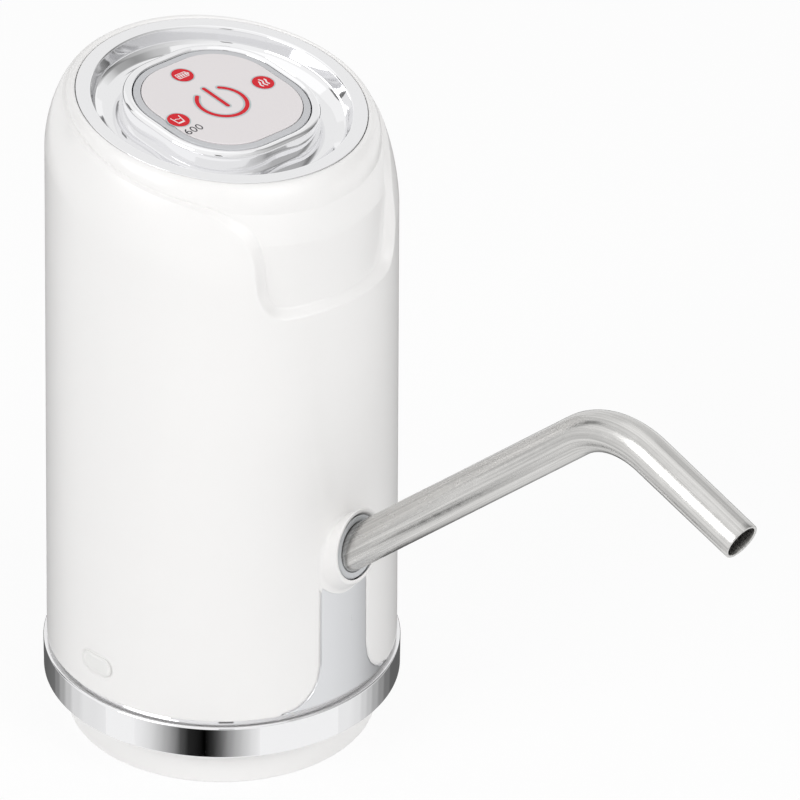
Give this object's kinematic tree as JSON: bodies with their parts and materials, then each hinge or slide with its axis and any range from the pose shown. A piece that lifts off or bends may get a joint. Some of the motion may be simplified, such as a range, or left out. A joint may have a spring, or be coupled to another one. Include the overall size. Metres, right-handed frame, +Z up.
{
  "type": "water jug pump",
  "caption": "Electric pump for the neck of a large water jug: tapered body on a collar, slanted top with a push button in a chrome dish, bent steel spout",
  "frame": {"origin": "centre of the flat underside of the base plate, which is the face that closes the jug's neck", "axes": "+Z up along the body; the spout points towards -Y; +X completes a right-handed frame"},
  "size_m": [0.076, 0.1807, 0.1483],
  "materials": {
    "white_plastic": "smooth satin gloss",
    "polished_chrome": "polished plating",
    "satin_metal": "satin, fine upright grain",
    "brushed_steel": "fine brushing round the tube",
    "lens": "printed from behind, smooth",
    "lens_border": "translucent, smooth",
    "silicone": "matt silicone",
    "port_cover": "matt silicone",
    "grey_plastic": "moulded, matt",
    "pale_plastic": "moulded, matt",
    "black_plastic": "moulded, matt",
    "circuit_board": "solder mask",
    "lamp": "clear moulded lens",
    "hose": "smooth silicone tube",
    "nickel": "bright nickel plating",
    "magnet": "sintered, dull",
    "battery_sleeve": "shrink sleeve"
  },
  "bodies": {
    "housing": {"outer_casing": "white_plastic", "top_cap": "white_plastic", "neck_collar": "white_plastic", "dish_bezel": "polished_chrome", "button_frame": "polished_chrome", "base_band": "polished_chrome", "trim_strip": "satin_metal", "spout_seal": "silicone", "neck_seal": "silicone", "diaphragm": "silicone", "power_switch": "black_plastic", "pump_head": "black_plastic", "pump_case": "black_plastic", "motor_end_cap": "black_plastic", "control_board": "circuit_board", "charge_board": "circuit_board", "icon_led_battery": "lamp", "icon_led_flow": "lamp", "icon_led_cup": "lamp", "spout_socket": "grey_plastic", "base_plate": "grey_plastic", "inlet_barb": "grey_plastic", "chassis": "grey_plastic", "valve_plate": "pale_plastic", "wobble_plate": "pale_plastic", "inlet_hose": "hose", "outlet_hose": "hose", "motor_can": "nickel", "motor_magnet_1": "magnet", "motor_magnet_2": "magnet", "battery_cell": "battery_sleeve", "battery_contact_bottom": "nickel", "battery_contact_top": "nickel", "usb_socket": "nickel", "board_screw_1": "nickel", "board_screw_2": "nickel", "board_screw_3": "nickel", "base_screw_1": "nickel", "base_screw_2": "nickel", "base_screw_3": "nickel", "pump_screw_1": "nickel", "pump_screw_2": "nickel", "pump_screw_3": "nickel", "chassis_screw_1": "nickel", "chassis_screw_2": "nickel"},
    "button": {"button_carrier": "lens_border", "button_lens": "lens"},
    "switch": {"switch_plunger": "black_plastic"},
    "spout": {"spout_tube": "brushed_steel"},
    "port_flap": {"usb_cover": "port_cover"},
    "rotor": {"motor_rotor": "nickel", "eccentric_hub": "grey_plastic"}
  },
  "joints": [
    {"name": "button_press", "type": "slide", "parent": "housing", "child": "button", "axis": [0, 0.1599, -0.9871], "range_m": [0, 0.0006], "stiffness_N_per_m": 800, "springref_m": -0.0006},
    {"name": "switch_press", "type": "slide", "parent": "housing", "child": "switch", "axis": [0, 0.1599, -0.9871], "range_m": [0, 0.0006]},
    {"name": "spout_swivel", "type": "hinge", "parent": "housing", "child": "spout", "pos_m": [0, -0.03676, 0.03484], "axis": [0, -0.7529, 0.6581], "continuous": true},
    {"name": "port_cover_swing", "type": "hinge", "parent": "housing", "child": "port_flap", "pos_m": [-0.03718, 0.00145, 0.0074], "axis": [0, 0, -1], "range_deg": [0, 85]},
    {"name": "rotor_spin", "type": "hinge", "parent": "housing", "child": "rotor", "pos_m": [-0.011, 0.008, 0.06], "axis": [0, 0, 1], "continuous": true}
  ],
  "couplings": [
    {"joint": "switch_press", "follows": "button_press", "ratio": 1}
  ]
}
